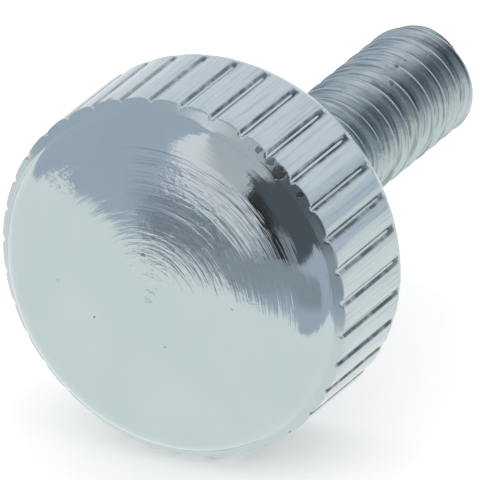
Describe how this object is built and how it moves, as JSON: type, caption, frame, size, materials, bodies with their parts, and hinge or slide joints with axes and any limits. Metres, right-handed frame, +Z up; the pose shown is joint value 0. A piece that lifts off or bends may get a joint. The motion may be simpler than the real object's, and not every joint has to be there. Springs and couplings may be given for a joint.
{
  "type": "knurled thumb screw",
  "caption": "Knurled thumb screw with a crowned round head and a threaded shank, turned by hand to fasten or adjust.",
  "frame": {"origin": "middle of the head's flat underside, where the shank leaves it", "axes": "+Z up as the screw lies on a table on two ridges of its knurl; the shank runs level along +Y, and the crowned face looks along -Y"},
  "size_m": [0.015, 0.023, 0.015],
  "materials": {
    "plated_steel": "turned steel with a bright plated surface"
  },
  "bodies": {
    "root": {"thumb_screw": "plated_steel"}
  },
  "joints": []
}
